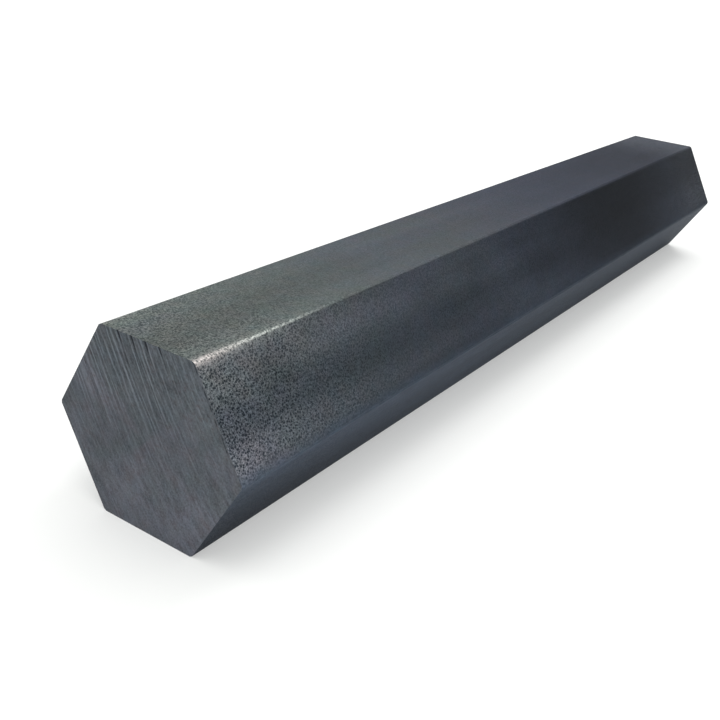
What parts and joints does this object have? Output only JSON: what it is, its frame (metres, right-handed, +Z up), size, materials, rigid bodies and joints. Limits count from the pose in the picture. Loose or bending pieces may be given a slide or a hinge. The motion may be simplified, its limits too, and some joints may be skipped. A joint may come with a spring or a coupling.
{
  "type": "hex bar stock",
  "caption": "Solid dark steel bar of hexagonal section with lightly rounded long edges, a pitted rolled skin and square sawn ends; raw stock to be turned, milled or cut to length.",
  "frame": {"origin": "centre of the flat that the bar lies on, half way along it", "axes": "+X along the bar, +Z up from the flat that it lies on"},
  "size_m": [0.25, 0.0414, 0.036],
  "materials": {
    "rolled_steel": "dark grey rolled and pickled skin, finely pitted and satin, with sawn ends"
  },
  "bodies": {
    "root": {"hex_bar": "rolled_steel"}
  },
  "joints": []
}
